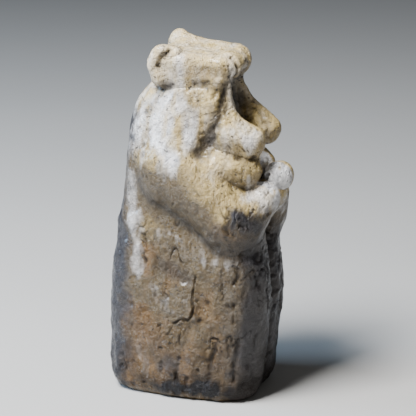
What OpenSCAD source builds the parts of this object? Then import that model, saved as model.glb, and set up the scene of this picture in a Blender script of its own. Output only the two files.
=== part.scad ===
// Fertility figure, hand-built from lumps of clay pressed onto one standing core.
// Millimetres. +Z is up, the figure faces -Y, and its own left hand is on +X.
// The origin is the middle of the base face that it stands on.

/* [Figure] */
// Height of the core's flat top, which the head is set on
neck_h = 102; // [98:1:106]
// Width of the skirt at its widest, side to side
skirt_w = 38.6; // [34:0.2:44]
// Reach of the skirt in front of the origin
skirt_front = 28.6; // [25:0.2:32]
// Reach of the skirt behind the origin
skirt_back = 27.8; // [25:0.2:30]
// Squareness of the core's plan: 2 is an ellipse, higher is boxier
core_square = 3.4; // [2.4:0.1:5]

/* [Arms] */
// Height of the shoulder on the arm's centre line
shoulder_h = 77; // [75:0.5:79]
// Height of the right elbow
elbow_h = 63; // [61:0.5:65]
// How much lower the left elbow hangs
elbow_drop = 3.5; // [0:0.5:4]
// Reach of the elbows in front of the origin
elbow_front = 17.5; // [16:0.5:19]
// How far the arms stand out beside the middle, to the arm's centre line
arm_side = 13; // [12:0.1:14]
// Radius of the upper arm at the shoulder
shoulder_r = 9; // [8:0.1:10]
// Radius of the arm at the elbow
elbow_r = 9.2; // [8.5:0.1:10]
// Radius of the wrist
wrist_r = 5; // [4:0.1:6]

/* [Hands] */
// Height of the right wrist, where the hands meet
wrist_h = 69; // [67:0.5:71]
// Reach of the wrists in front of the origin
wrist_front = 28; // [27:0.5:29]
// Distance of each wrist from the middle
wrist_side = 5; // [4:0.5:6]
// How much higher the left hand lies, on top of the right one
hand_rise = 7; // [6:0.5:8]
// Radius of each closed hand
hand_r = 5.3; // [4:0.1:6]

/* [Breasts and belly] */
// Height of the right breast's full lower end
breast_h = 88; // [86:0.5:90]
// How much higher the left breast's root is
breast_rise = 3; // [0:0.5:4]
// Reach of the breasts' centres in front of the origin
breast_front = 22; // [20:0.5:23]
// Radius of each breast at its full lower end
breast_r = 6.4; // [5.5:0.1:7]
// Distance of each breast from the middle
breast_side = 7.4; // [6.5:0.1:8.5]
// Height of the belly folds under the breasts
fold_h = 78; // [76:0.5:80]
// Radius of the belly folds
fold_r = 5; // [4:0.1:6]

/* [Head] */
// Width of the skull across the temples
skull_w = 25; // [22:0.5:28]
// Height of the skull above the neck, at the back
skull_h = 17.2; // [15:0.2:19]
// Drop of the skull's flat top from back to front
skull_fall = 2; // [1:0.2:4]
// Reach of the snout in front of the origin
snout_front = 18.8; // [18:0.2:21]
// Radius of the rolled ears
ear_r = 3; // [2.6:0.1:3.6]
// How much further back the tip of the left ear leans
ear_lean = 4; // [0:0.5:5]
// Drop of the snout's middle below the top of the skull's front
snout_drop = 4.5; // [3:0.5:7]
// Height of the snout's roll over its depth
snout_tall = 1.15; // [1:0.05:1.4]
// Place across the snout of the slit on the figure's right
slit_right = -6.2; // [-8:0.2:-4]
// Place across the snout of the slit on the figure's left
slit_left = 2; // [0:0.2:4]
// Width of the upright slits that part the lips
slit_w = 1; // [0.6:0.1:1.4]
// Radius of the neck rolls, which run down from the head to the shoulders
neck_roll_r = 7.4; // [6:0.1:8]

/* [Legs] */
// Height of the top of the leg ridges
thigh_h = 56; // [52:1:58]
// Reach of the shins in front of the origin
shin_front = 26; // [24:0.5:27]
// Radius of the leg ridges at the front corners of the skirt
leg_r = 6.4; // [5:0.1:8]

/* [Hidden] */

RIGHT = -1;
LEFT = 1;
cream = [0.80, 0.74, 0.62];
ochre = [0.66, 0.55, 0.38];
grey = [0.55, 0.53, 0.53];

core_rings = 34;
core_sides = 44;
coil_steps = 8;
bead_fn = 18;
skull_fn = 24;

// Each row is one level of the core: its height as a share of neck_h, then its half width, front reach
// and back reach as shares of the skirt's.
core_levels = [
    [0.00, 0.82, 0.80, 0.80],
    [0.02, 0.92, 0.87, 0.90],
    [0.06, 0.97, 0.90, 0.97],
    [0.13, 0.99, 0.93, 1.00],
    [0.25, 1.00, 0.97, 0.98],
    [0.36, 0.98, 1.00, 0.95],
    [0.46, 0.95, 0.97, 0.92],
    [0.56, 0.83, 0.90, 0.87],
    [0.66, 0.80, 0.82, 0.78],
    [0.76, 0.79, 0.70, 0.75],
    [0.88, 0.72, 0.53, 0.71],
    [0.95, 0.68, 0.48, 0.64],
    [1.00, 0.64, 0.45, 0.56]
];

// Smooth value of column c at share t of the height, by a cubic through the four nearest levels.
function level_index(t) = max([for (i = [0:len(core_levels) - 2]) if (core_levels[i][0] <= t) i]);
function cubic(a, b, c, d, s) =
    b + 0.5 * s * (c - a + s * (2 * a - 5 * b + 4 * c - d + s * (3 * (b - c) + d - a)));
function core_value(c, t) =
    let (
        i = level_index(t),
        last = len(core_levels) - 1,
        s = (t - core_levels[i][0]) / (core_levels[i + 1][0] - core_levels[i][0])
    )
    cubic(core_levels[max(i - 1, 0)][c], core_levels[i][c], core_levels[i + 1][c],
        core_levels[min(i + 2, last)][c], s);

// One ring of the core: a superellipse whose front and back halves have their own reach.
function power(x, p) = sign(x) * pow(abs(x), p);
function core_ring(t) =
    let (
        w = core_value(1, t) * skirt_w / 2,
        front = core_value(2, t) * skirt_front,
        back = core_value(3, t) * skirt_back,
        middle = (back - front) / 2,
        depth = (back + front) / 2
    )
    [for (k = [0:core_sides - 1])
        let (a = 360 * k / core_sides)
        [w * power(cos(a), 2 / core_square), middle + depth * power(sin(a), 2 / core_square), neck_h * t]];

// The rings crowd together at the foot, where the edge is rounded.
function ring_share(i) = pow(i / (core_rings - 1), 1.35);

// A point on the bend that starts at p[0], leans towards p[1] and ends at p[2].
function bend(p, t) = (1 - t) * (1 - t) * p[0] + 2 * t * (1 - t) * p[1] + t * t * p[2];

// The same place on the figure's right (-1) or left (+1) side.
function on_side(side, p) = [side * p.x, p.y, p.z];
function path_on_side(side, path) = [for (p = path) on_side(side, p)];

// A rolled coil of clay along a bend, thickening or thinning from r_start to r_end.
module coil(path, r_start, r_end, stretch = [1, 1, 1]) {
    for (i = [0:coil_steps - 1])
        hull()
            for (t = [i, i + 1] / coil_steps)
                translate(bend(path, t))
                    scale(stretch)
                        sphere(r = r_start + (r_end - r_start) * t, $fn = bead_fn);
}

module core_solid() {
    points = [for (i = [0:core_rings - 1]) each core_ring(ring_share(i))];
    walls = [for (i = [0:core_rings - 2], k = [0:core_sides - 1])
        let (a = i * core_sides, b = (k + 1) % core_sides)
        [a + k, a + core_sides + k, a + core_sides + b, a + b]];
    foot = [for (k = [0:core_sides - 1]) k];
    crown = [for (k = [core_sides - 1:-1:0]) (core_rings - 1) * core_sides + k];
    polyhedron(points, concat(walls, [foot], [crown]));
}

// Everything under the level of the neck's flat top.
module below_neck() {
    translate([-40, -40, neck_h - 60])
        cube([80, 80, 60]);
}

// How far a place on the left side departs from its twin on the right, which is at zero.
function on_left(side, amount) = side == LEFT ? amount : 0;

// Places that two coils share.
function elbow_place(side) = [arm_side - 1, -elbow_front, elbow_h - on_left(side, elbow_drop)];
function wrist_place(side) = [wrist_side, -wrist_front, wrist_h + on_left(side, hand_rise)];

module neck_roll_coil(side) {
    path = [[7, 2, neck_h - 3], [9, 4, neck_h - 10], [9.5, 5, shoulder_h + 5]];
    coil(path_on_side(side, path), neck_roll_r * 0.9, neck_roll_r, [1, 1.15, 1]);
}

module upper_arm_coil(side) {
    path = [[arm_side, 5, shoulder_h], [arm_side + 1, -6, shoulder_h - 4], elbow_place(side)];
    coil(path_on_side(side, path), shoulder_r, elbow_r, [0.95, 1, 1.15]);
}

module forearm_coil(side) {
    elbow = elbow_place(side);
    path = [elbow, [arm_side - 3, -wrist_front + 1, elbow.z - 1], wrist_place(RIGHT)];
    coil(path_on_side(side, path), elbow_r, wrist_r, [0.95, 1, 1.12]);
}

module hand_coil(side) {
    wrist = wrist_place(side);
    path = [wrist, wrist + [-2, -2, -1], [0, wrist.y - 2.5, wrist.z - 0.5]];
    coil(path_on_side(side, path), wrist_r * 0.9, hand_r, [1, 0.9, 1]);
}

module breast_coil(side) {
    rise = on_left(side, breast_rise);
    path = [[breast_side, -breast_front / 2, breast_h + 11 + rise],
        [breast_side, -breast_front + 4.5, breast_h + 3 + rise],
        [breast_side, -breast_front, breast_h + rise / 2]];
    coil(path_on_side(side, path), breast_r * 0.45, breast_r, [1, 0.95, 1]);
}

module belly_fold_coil(side) {
    path = [[breast_side + 4, -breast_front + 8, fold_h], [breast_side, -breast_front + 2, fold_h + 1],
        [fold_r / 2, -breast_front, fold_h - 0.5]];
    coil(path_on_side(side, path), fold_r, fold_r);
}

module leg_coil(side) {
    shin_side = skirt_w / 4;
    path = [[shin_side, -shin_front + 6, thigh_h], [shin_side + 2.4, -shin_front, thigh_h * 0.6],
        [shin_side, -shin_front + 5.5, leg_r]];
    coil(path_on_side(side, path), leg_r * 0.8, leg_r, [0.8, 1, 1]);
}

module skull_block() {
    temple = skull_w / 2 - 5;
    top = neck_h + skull_h;
    hull()
        for (side = [RIGHT, LEFT]) {
            translate([side * temple, 7, neck_h + 2])
                sphere(r = 5, $fn = skull_fn);
            translate([side * temple, 5, top - 4.5])
                sphere(r = 4.5, $fn = skull_fn);
            translate([side * temple * 0.85, -9, neck_h + 3])
                sphere(r = 4.5, $fn = skull_fn);
            translate([side * temple * 0.9, -12, top - skull_fall - 3.6])
                sphere(r = 3.6, $fn = skull_fn);
        }
}

// The two soft rolls that hang under each side of the head.
module jowl_coil(side) {
    path = [[skull_w / 2 - 3, 7, neck_h + 5], [skull_w / 2 - 2, -1, neck_h + 2.5],
        [skull_w / 2 - 4, -9, neck_h + 6]];
    coil(path_on_side(side, path), 3.4, 3);
}

module head_block() {
    skull_block();
    jowl_coil(RIGHT);
    jowl_coil(LEFT);
}

module snout_block() {
    reach = snout_front - 4;
    level = neck_h + skull_h - skull_fall - snout_drop;
    path = [[-5, -reach, level], [0, -reach - 0.6, level], [5, -reach, level]];
    coil(path, 4, 4, [1, 1, snout_tall]);
}

// Two upright slits across the front of the snout.
module lip_slits() {
    for (x = [slit_right, slit_left])
        translate([x - slit_w / 2, -snout_front - 2, neck_h + 6.4])
            cube([slit_w, 3.2, 8]);
}

module ear_coil(side) {
    ear_side = skull_w / 2 - 1.2;
    top = neck_h + skull_h;
    lean = on_left(side, ear_lean);
    path = [[ear_side - 0.5, 8, neck_h + 5], [ear_side + 0.6, 12, top - 4],
        [ear_side - 1, 5 + lean, top - 1.4 + lean / 4]];
    coil(path_on_side(side, path), ear_r, ear_r, [0.9, 1, 1]);
}

module body_core() {
    color(ochre)
        difference() {
            core_solid();
            translate([-40, -40, -10])
                cube([80, 80, 10]);
        }
}

module head() {
    color(cream)
        difference() {
            head_block();
            below_neck();
        }
}

module snout() {
    color(cream)
        difference() {
            snout_block();
            head_block();
            lip_slits();
        }
}

module ear(side) {
    color(cream)
        difference() {
            ear_coil(side);
            head_block();
            below_neck();
        }
}

module neck_roll(side) {
    color(grey)
        difference() {
            neck_roll_coil(side);
            core_solid();
            upper_arm_coil(side);
            head_block();
        }
}

module upper_arm(side) {
    color(ochre)
        difference() {
            upper_arm_coil(side);
            core_solid();
        }
}

module forearm(side) {
    color(ochre)
        difference() {
            forearm_coil(side);
            core_solid();
            upper_arm_coil(side);
        }
}

module hand(side) {
    color(cream)
        difference() {
            hand_coil(side);
            core_solid();
            forearm_coil(RIGHT);
            forearm_coil(LEFT);
            if (side == LEFT)
                hand_coil(RIGHT);
        }
}

module breast(side) {
    color(cream)
        difference() {
            breast_coil(side);
            core_solid();
            neck_roll_coil(side);
            hand_coil(LEFT);
            if (side == LEFT)
                breast_coil(RIGHT);
        }
}

module belly_fold(side) {
    color(cream)
        difference() {
            belly_fold_coil(side);
            core_solid();
            upper_arm_coil(side);
            forearm_coil(side);
            hand_coil(RIGHT);
            hand_coil(LEFT);
            breast_coil(side);
            if (side == LEFT)
                belly_fold_coil(RIGHT);
        }
}

module leg(side) {
    color(grey)
        difference() {
            leg_coil(side);
            core_solid();
            forearm_coil(side);
        }
}

body_core();
head();
snout();
ear(RIGHT);  // right_ear
ear(LEFT);  // left_ear
neck_roll(RIGHT);  // right_neck_roll
neck_roll(LEFT);  // left_neck_roll
upper_arm(RIGHT);  // right_upper_arm
upper_arm(LEFT);  // left_upper_arm
forearm(RIGHT);  // right_forearm
forearm(LEFT);  // left_forearm
hand(RIGHT);  // right_hand
hand(LEFT);  // left_hand
breast(RIGHT);  // right_breast
breast(LEFT);  // left_breast
belly_fold(RIGHT);  // right_belly_fold
belly_fold(LEFT);  // left_belly_fold
leg(RIGHT);  // right_leg
leg(LEFT);  // left_leg
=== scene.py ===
"""A hand-modelled clay fertility figure, built as lumps of clay pressed onto one standing core.

Every CAD node is replaced by a clay piece of its own. The pieces share one shape: the lumps melted into
each other by a smooth union, with the maker's cuts, dents and pits pressed into it. Each piece is traced
from its own lump outwards, follows the shared surface where its lump is the nearest one, and dives under
its neighbour beyond that, so the joints close by themselves.
"""

import logging
import math
from abc import ABC, abstractmethod
from dataclasses import dataclass, replace
from enum import Enum
from typing import ClassVar

import bpy
import numpy as np
from mathutils import Euler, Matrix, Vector


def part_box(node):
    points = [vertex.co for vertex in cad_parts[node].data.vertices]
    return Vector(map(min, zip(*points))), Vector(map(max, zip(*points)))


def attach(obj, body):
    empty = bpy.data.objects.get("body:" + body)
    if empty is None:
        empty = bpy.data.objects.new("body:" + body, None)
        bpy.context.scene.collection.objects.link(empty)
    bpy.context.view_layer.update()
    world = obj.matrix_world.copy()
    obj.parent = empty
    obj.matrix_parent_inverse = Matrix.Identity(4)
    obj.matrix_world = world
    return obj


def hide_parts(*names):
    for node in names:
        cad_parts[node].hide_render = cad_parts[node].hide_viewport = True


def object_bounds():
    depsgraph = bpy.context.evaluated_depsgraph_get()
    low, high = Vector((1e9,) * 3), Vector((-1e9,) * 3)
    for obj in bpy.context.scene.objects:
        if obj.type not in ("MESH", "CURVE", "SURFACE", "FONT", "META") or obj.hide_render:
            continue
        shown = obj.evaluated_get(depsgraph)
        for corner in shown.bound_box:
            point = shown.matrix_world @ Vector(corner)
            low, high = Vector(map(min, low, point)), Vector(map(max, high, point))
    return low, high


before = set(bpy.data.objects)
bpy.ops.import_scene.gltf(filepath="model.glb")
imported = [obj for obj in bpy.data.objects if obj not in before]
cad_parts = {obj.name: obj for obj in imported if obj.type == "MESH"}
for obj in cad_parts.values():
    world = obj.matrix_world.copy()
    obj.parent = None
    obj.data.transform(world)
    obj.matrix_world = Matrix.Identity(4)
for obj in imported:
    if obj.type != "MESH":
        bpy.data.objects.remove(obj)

log = logging.getLogger("clay_figure")

MM = 0.001
CAD_BOX = [list(corner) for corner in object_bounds()]
GRID = 0.45 * MM
OCHRE_SLOT, CREAM_SLOT, SMOKED_SLOT = "ochre_clay", "cream_clay", "smoked_clay"


class Side(Enum):
    """The figure's own right or left, as the sign of X."""

    RIGHT = -1
    LEFT = 1

    def node(self, name: str) -> str:
        """Returns the CAD node of this side, such as right_ear."""
        return f"{self.name.lower()}_{name}"


class Facing(Enum):
    """The way that a mark's surface faces, as the axis that it looks along and the axis's sign."""

    RIGHT = (0, -1)
    LEFT = (0, 1)
    FRONT = (1, -1)
    BACK = (1, 1)
    TOP = (2, 1)

    @property
    def across(self) -> list[int]:
        """The two axes that a mark is drawn on."""
        return [axis for axis in range(3) if axis != self.value[0]]


def smooth_step(values: np.ndarray, low: float, high: float) -> np.ndarray:
    """Rises from 0 at low to 1 at high along a cubic.

    Args:
        values: The values to grade.
        low: Where the rise starts. It may be above high, and the step then falls.
        high: Where the rise ends.

    Returns:
        The graded values.
    """
    share = np.clip((values - low) / (high - low), 0.0, 1.0)
    return share * share * (3.0 - 2.0 * share)


def smooth_min(first: np.ndarray, second: np.ndarray, reach: float) -> np.ndarray:
    """The lower of two distances, less a parabola where they differ by under reach, which fills the joint.

    Args:
        first: Distances to one shape.
        second: Distances to the other.
        reach: How far the fillet reaches.

    Returns:
        The distances to the joined shape.
    """
    overlap = np.maximum(reach - np.abs(first - second), 0.0) / reach
    return np.minimum(first, second) - overlap * overlap * reach * 0.25


def cell_random(cells: np.ndarray, seed: int) -> np.ndarray:
    """A repeatable random number from 0 to 1 for each whole-number cell, by mixing its bits.

    Args:
        cells: Cell numbers, shape (n, 3).
        seed: Picks another set of numbers.

    Returns:
        One number for each cell.
    """
    mask = 0xFFFFFFFF
    cells = cells.astype(np.int64)
    mixed = (cells[:, 0] * 73856093) ^ (cells[:, 1] * 19349663)
    mixed = mixed ^ (cells[:, 2] * 83492791) ^ (seed * 40503 + 977)
    for _ in range(2):
        mixed = mixed & mask
        mixed = ((mixed ^ (mixed >> 16)) * 0x45D9F3B) & mask
    return (mixed ^ (mixed >> 16)) / mask


def noise(points: np.ndarray, size: float, seed: int) -> np.ndarray:
    """Smooth noise from -1 to 1: random values at the corners of cubes, eased between them.

    Args:
        points: Places in metres, shape (n, 3).
        size: Side of a cube.
        seed: Picks another pattern.

    Returns:
        One value for each place.
    """
    spots = points / size
    cells = np.floor(spots)
    ease = spots - cells
    ease = ease * ease * ease * (ease * (ease * 6.0 - 15.0) + 10.0)
    total = np.zeros(len(points))
    for corner in np.ndindex(2, 2, 2):
        weight = np.prod(np.where(corner, ease, 1.0 - ease), axis=1)
        total += weight * cell_random(cells + corner, seed)
    return total * 2.0 - 1.0


def layered_noise(points: np.ndarray, size: float, layers: int, seed: int) -> np.ndarray:
    """Noise on noise: each layer is half the size and 0.55 of the strength of the one before.

    Args:
        points: Places in metres, shape (n, 3).
        size: Size of the coarsest layer.
        layers: How many layers.
        seed: Picks another pattern.

    Returns:
        One value for each place, mostly within -1 to 1.
    """
    total = np.zeros(len(points))
    for layer in range(layers):
        total += 0.55 ** layer * noise(points, size / 2 ** layer, seed + layer)
    return total


def pits(points: np.ndarray, size: float, share: float, seed: int) -> np.ndarray:
    """Round pits at random places: 1 at a pit's middle, falling to 0 at its rim.

    Each cube of space holds one place for a pit, and only a share of the cubes have one. A pit's radius is
    between 0.14 and 0.4 of the cube's side.

    Args:
        points: Places in metres, shape (n, 3).
        size: Side of a cube.
        share: Share of the cubes that hold a pit.
        seed: Picks another pattern.

    Returns:
        One value for each place.
    """
    spots = points / size - 0.5
    cells = np.floor(spots)
    deepest = np.zeros(len(points))
    for corner in np.ndindex(2, 2, 2):
        cell = cells + corner
        shift = np.stack([cell_random(cell, seed + axis) for axis in range(3)], axis=1)
        middle = cell + 0.3 + 0.4 * shift - 0.5
        radius = 0.14 + 0.26 * cell_random(cell, seed + 3)
        away = np.linalg.norm(spots - middle, axis=1) / radius
        present = cell_random(cell, seed + 4) < share
        deepest = np.maximum(deepest, np.where(present, np.clip(1.0 - away * away, 0.0, 1.0), 0.0))
    return deepest


def cracks(points: np.ndarray, size: float, seed: int) -> np.ndarray:
    """Hairline cracks: 1 along the lines where stretched noise crosses zero, in scattered places only.

    The noise is stretched to more than twice its height, so that most of the cracks run up and down.

    Args:
        points: Places in metres, shape (n, 3).
        size: Rough distance between cracks.
        seed: Picks another pattern.

    Returns:
        One value from 0 to 1 for each place.
    """
    tall = points * np.array([1.0, 1.0, 0.42])
    across = layered_noise(tall, size, 3, seed) / 0.055
    scattered = smooth_step(layered_noise(points, 1.5 * size, 2, seed + 9), 0.12, 0.5)
    return np.exp(-across * across) * scattered


def curve_through(knots: np.ndarray, count: int) -> np.ndarray:
    """A smooth curve through some knots, by a cubic on each four neighbours (Catmull-Rom).

    Args:
        knots: The knots, shape (k, d).
        count: How many points to return, spaced evenly in the curve's own parameter.

    Returns:
        The points, shape (count, d).
    """
    padded = np.vstack([2 * knots[0] - knots[1], knots, 2 * knots[-1] - knots[-2]])
    along = np.linspace(0.0, len(knots) - 1.0, count)
    start = np.minimum(along.astype(int), len(knots) - 2)
    s = (along - start)[:, None]
    a, b, c, d = (padded[start + shift] for shift in range(4))
    return b + 0.5 * s * (c - a + s * (2 * a - 5 * b + 4 * c - d + s * (3 * (b - c) + d - a)))


def unit(vectors: np.ndarray) -> np.ndarray:
    """Vectors of length 1 along the given ones."""
    return vectors / np.maximum(np.linalg.norm(vectors, axis=-1, keepdims=True), 1e-12)


def to_polyline(points: np.ndarray, line: np.ndarray) -> tuple[np.ndarray, np.ndarray]:
    """Distance from each point to a line of straight pieces.

    Args:
        points: Places, shape (n, d).
        line: The line's corners, shape (k, d).

    Returns:
        The distances, and how far along the line the nearest place is, from 0 to 1.
    """
    nearest = np.full(len(points), np.inf)
    along = np.zeros(len(points))
    for index, (a, b) in enumerate(zip(line[:-1], line[1:])):
        share = np.clip((points - a) @ (b - a) / max((b - a) @ (b - a), 1e-18), 0.0, 1.0)
        away = np.linalg.norm(points - a - share[:, None] * (b - a), axis=1)
        closer = away < nearest
        nearest = np.where(closer, away, nearest)
        along = np.where(closer, (index + share) / (len(line) - 1), along)
    return nearest, along


@dataclass
class Rays:
    """A grid of rays, each from inside a lump to its surface.

    Attributes:
        origins: Where each ray starts, shape (rows, columns, 3).
        directions: Unit directions of the same shape.
        start: How far out along each ray the search starts, shape (rows, columns).
    """

    origins: np.ndarray
    directions: np.ndarray
    start: np.ndarray


@dataclass
class Lump(ABC):
    """One lump of clay.

    Attributes:
        node: The CAD node that it stands for.
        slot: The record's material slot of that node.
        fillet: How far the clay is smeared where the lump joins the rest.
    """

    node: str
    slot: str
    fillet: float

    def low(self) -> np.ndarray:
        """The lowest corner of the CAD node's box."""
        return np.array(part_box(self.node)[0])

    def high(self) -> np.ndarray:
        """The highest corner of the CAD node's box."""
        return np.array(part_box(self.node)[1])

    @abstractmethod
    def distance(self, points: np.ndarray) -> np.ndarray:
        """Rough distance from each point to the lump's own surface, below zero inside it."""

    @abstractmethod
    def reach(self) -> tuple[np.ndarray, np.ndarray]:
        """The lowest and highest corner of a box that holds the whole lump."""

    @abstractmethod
    def rays(self) -> Rays:
        """The grid of rays that the lump's surface is traced along."""


@dataclass
class Core(Lump):
    """The standing core: a boxy column that swells into the skirt and narrows into the neck.

    Each level is a superellipse whose front and back halves have their own reach. The levels give a height
    as a share of the CAD core's height, then the half width, front reach and back reach as shares of the
    CAD core's own.

    Attributes:
        square: Squareness of the plan's front half at the foot and at the neck, where 2 is an ellipse.
        square_back: The same for its back half.
        cap_rows: Rings that close the base and the top.
    """

    square: tuple[float, float] = (3.1, 3.0)
    square_back: tuple[float, float] = (4.6, 3.2)
    cap_rows: int = 3

    LEVELS = np.array([
        (0.00, 0.82, 0.76, 0.79),
        (0.02, 0.92, 0.83, 0.89),
        (0.06, 0.97, 0.88, 0.95),
        (0.13, 0.98, 0.92, 0.975),
        (0.25, 0.98, 0.96, 0.965),
        (0.36, 0.97, 0.98, 0.94),
        (0.46, 0.94, 0.96, 0.91),
        (0.56, 0.83, 0.90, 0.88),
        (0.66, 0.80, 0.83, 0.82),
        (0.76, 0.79, 0.73, 0.79),
        (0.88, 0.74, 0.61, 0.76),
        (0.95, 0.67, 0.56, 0.70),
        (1.00, 0.61, 0.54, 0.60),
        (1.07, 0.50, 0.46, 0.38),
    ])

    def __post_init__(self) -> None:
        """Works out the four sizes of 400 fine levels, by a cubic through the given ones."""
        low, high = self.low(), self.high()
        fine = curve_through(self.LEVELS, 400)
        self.height = high[2]
        self.columns = int(1.8 * (high[0] - low[0] + high[1] - low[1]) / GRID)
        self.wall_rows = int(1.05 * self.height / GRID)
        self.level_z = fine[:, 0] * self.height
        self.level_sizes = fine[:, 1:] * np.array([high[0], -low[1], high[1]])

    def sizes_at(self, heights: np.ndarray) -> tuple[np.ndarray, ...]:
        """Sizes of the core at some heights.

        Args:
            heights: Heights above the base in metres.

        Returns:
            Half width, middle along Y and half depth at each height.
        """
        width, front, back = (np.interp(heights, self.level_z, size) for size in self.level_sizes.T)
        return width, (back - front) / 2, (back + front) / 2

    def distance(self, points: np.ndarray) -> np.ndarray:
        """Level distance to the wall along the line from the core's axis, or to the top if that is more."""
        width, middle, depth = self.sizes_at(points[:, 2])
        x, y = points[:, 0], points[:, 1] - middle
        up = np.clip(points[:, 2] / self.height, 0.0, 1.0)
        before, behind = (ends[0] + (ends[1] - ends[0]) * up for ends in (self.square, self.square_back))
        square = np.where(y < 0.0, before, behind)
        share = (np.abs(x / width) ** square + np.abs(y / depth) ** square) ** (1.0 / square)
        radius = np.hypot(x, y) + 1e-9
        wall = radius - radius / np.maximum(share, 1e-6)
        return np.maximum(wall, points[:, 2] - self.level_z[-1])

    def reach(self) -> tuple[np.ndarray, np.ndarray]:
        """The whole core's box."""
        return self.low(), self.high() + np.array([0.0, 0.0, self.level_z[-1] - self.height])

    def rays(self) -> Rays:
        """Level rays out of the axis, in rows that crowd together at the foot."""
        heights = self.level_z[-1] * 0.995 * np.linspace(0.0, 1.0, self.wall_rows) ** 1.15
        angles = np.linspace(0.0, 2.0 * math.pi, self.columns, endpoint=False)
        _, middle, _ = self.sizes_at(heights)
        origins = np.zeros((len(heights), len(angles), 3))
        origins[:, :, 1] = middle[:, None]
        origins[:, :, 2] = heights[:, None]
        flat = np.stack([np.cos(angles), np.sin(angles), np.zeros_like(angles)], axis=1)
        directions = np.broadcast_to(flat, origins.shape).copy()
        probe = origins + directions * 5 * MM
        start = 5 * MM - self.distance(probe.reshape(-1, 3)).reshape(origins.shape[:2])
        return Rays(origins, directions, start * 0.93)


@dataclass
class Coil(Lump):
    """A rolled coil of clay along a smooth curve, with a round end at each end.

    Attributes:
        knots: Places that the curve runs through, in metres.
        radii: The coil's radius at each knot.
        stretch: How much the coil is swollen along X, Y and Z.
        pieces: Straight pieces that its distance is measured to.
    """

    knots: np.ndarray
    radii: tuple[float, ...]
    stretch: tuple[float, float, float] = (1.0, 1.0, 1.0)
    pieces: int = 12

    def __post_init__(self) -> None:
        """Draws the coil's curve, with its radius as a fourth value."""
        with_radius = np.column_stack([self.knots, self.radii])
        self.line = curve_through(with_radius, self.pieces + 1)

    def distance(self, points: np.ndarray) -> np.ndarray:
        """Distance to the nearest straight piece less the radius there, in the space before the stretch."""
        stretch = np.array(self.stretch)
        shrunk, corners = points / stretch, self.line[:, :3] / stretch
        nearest = np.full(len(points), np.inf)
        for a, b, near_r, far_r in zip(corners[:-1], corners[1:], self.line[:-1, 3], self.line[1:, 3]):
            share = np.clip((shrunk - a) @ (b - a) / ((b - a) @ (b - a)), 0.0, 1.0)
            away = np.linalg.norm(shrunk - a - share[:, None] * (b - a), axis=1)
            nearest = np.minimum(nearest, away - near_r - (far_r - near_r) * share)
        return nearest * stretch.min()

    def reach(self) -> tuple[np.ndarray, np.ndarray]:
        """The box of the curve, grown by the largest radius."""
        grow = self.line[:, 3].max() * max(self.stretch)
        return self.line[:, :3].min(axis=0) - grow, self.line[:, :3].max(axis=0) + grow

    def rays(self) -> Rays:
        """Rays square to the curve, turned by up to a right angle along it at each round end."""
        radius = float(np.mean(self.line[:, 3]))
        length = float(np.sum(np.linalg.norm(np.diff(self.line[:, :3], axis=0), axis=1)))
        body_rows = max(int(length / GRID), 6)
        cap_rows = max(int(radius * math.pi / 2 / GRID), 10)
        columns = max(int(2 * math.pi * radius * max(self.stretch) / GRID), 40)
        fine = curve_through(np.column_stack([self.knots, self.radii]), body_rows)
        path, radii = fine[:, :3], fine[:, 3]
        along = unit(np.gradient(path, axis=0))
        side = unit(np.cross(along, np.array([0.31, 0.2, 0.93])))
        over = np.cross(side, along)
        turn = np.linspace(90.0, 0.0, cap_rows, endpoint=False)
        tilt = np.radians(np.concatenate([-turn, np.zeros(body_rows), turn[::-1]]))
        last = np.full(cap_rows, body_rows - 1)
        row = np.concatenate([np.zeros(cap_rows, int), np.arange(body_rows), last])
        angles = np.linspace(0.0, 2.0 * math.pi, columns, endpoint=False)[None, :, None]
        round_it = np.cos(angles) * side[row][:, None] + np.sin(angles) * over[row][:, None]
        directions = np.cos(tilt)[:, None, None] * round_it
        directions += np.sin(tilt)[:, None, None] * along[row][:, None]
        origins = np.broadcast_to(path[row][:, None], directions.shape).copy()
        start = np.broadcast_to(radii[row][:, None] * 0.8 * min(self.stretch), directions.shape[:2]).copy()
        return Rays(origins, directions, start)


@dataclass
class Block(Coil):
    """The skull: a rounded block whose width, top and underside change from front to back.

    Its rays leave a line through its middle, as a coil's do. A place's distance is that to a rounded box
    with the width and heights of that place's share of the way back.

    Attributes:
        half_width: Half width at the front and at the back.
        underside: Height of the underside at the front and at the back.
        top: Height of the top at the front and at the back.
        corner: Radius of the rounded edges.
        ends: Where the block starts at the front and stops at the back.
        roll: How much the top rises for each metre towards the figure's left.
    """

    half_width: tuple[float, float] = (0.0, 0.0)
    underside: tuple[float, float] = (0.0, 0.0)
    top: tuple[float, float] = (0.0, 0.0)
    corner: float = 3 * MM
    ends: tuple[float, float] = (0.0, 0.0)
    roll: float = 0.0

    def distance(self, points: np.ndarray) -> np.ndarray:
        """Distance to the rounded box at the point's share of the way back."""
        front, back = self.ends
        share = np.clip((points[:, 1] - front) / (back - front), 0.0, 1.0)
        half_x, low_z, high_z = (ends[0] + (ends[1] - ends[0]) * share
                                 for ends in (self.half_width, self.underside, self.top))
        high_z = high_z + self.roll * points[:, 0]
        outside = np.stack([
            np.abs(points[:, 0]) - half_x,
            np.abs(points[:, 1] - (front + back) / 2) - (back - front) / 2,
            np.abs(points[:, 2] - (high_z + low_z) / 2) - (high_z - low_z) / 2,
        ], axis=1) + self.corner
        beyond = np.linalg.norm(np.maximum(outside, 0.0), axis=1)
        return beyond + np.minimum(outside.max(axis=1), 0.0) - self.corner

    def reach(self) -> tuple[np.ndarray, np.ndarray]:
        """The block's box."""
        wide = max(self.half_width)
        return (np.array([-wide, self.ends[0], min(self.underside)]),
                np.array([wide, self.ends[1], max(self.top) + self.roll * wide]))


class Clay(Enum):
    """The colours that lie on the ochre clay."""

    CREAM = 0
    WHITE = 1
    GREY = 2
    RUST = 3
    SOOT_AND_SHADE = 4


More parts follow.
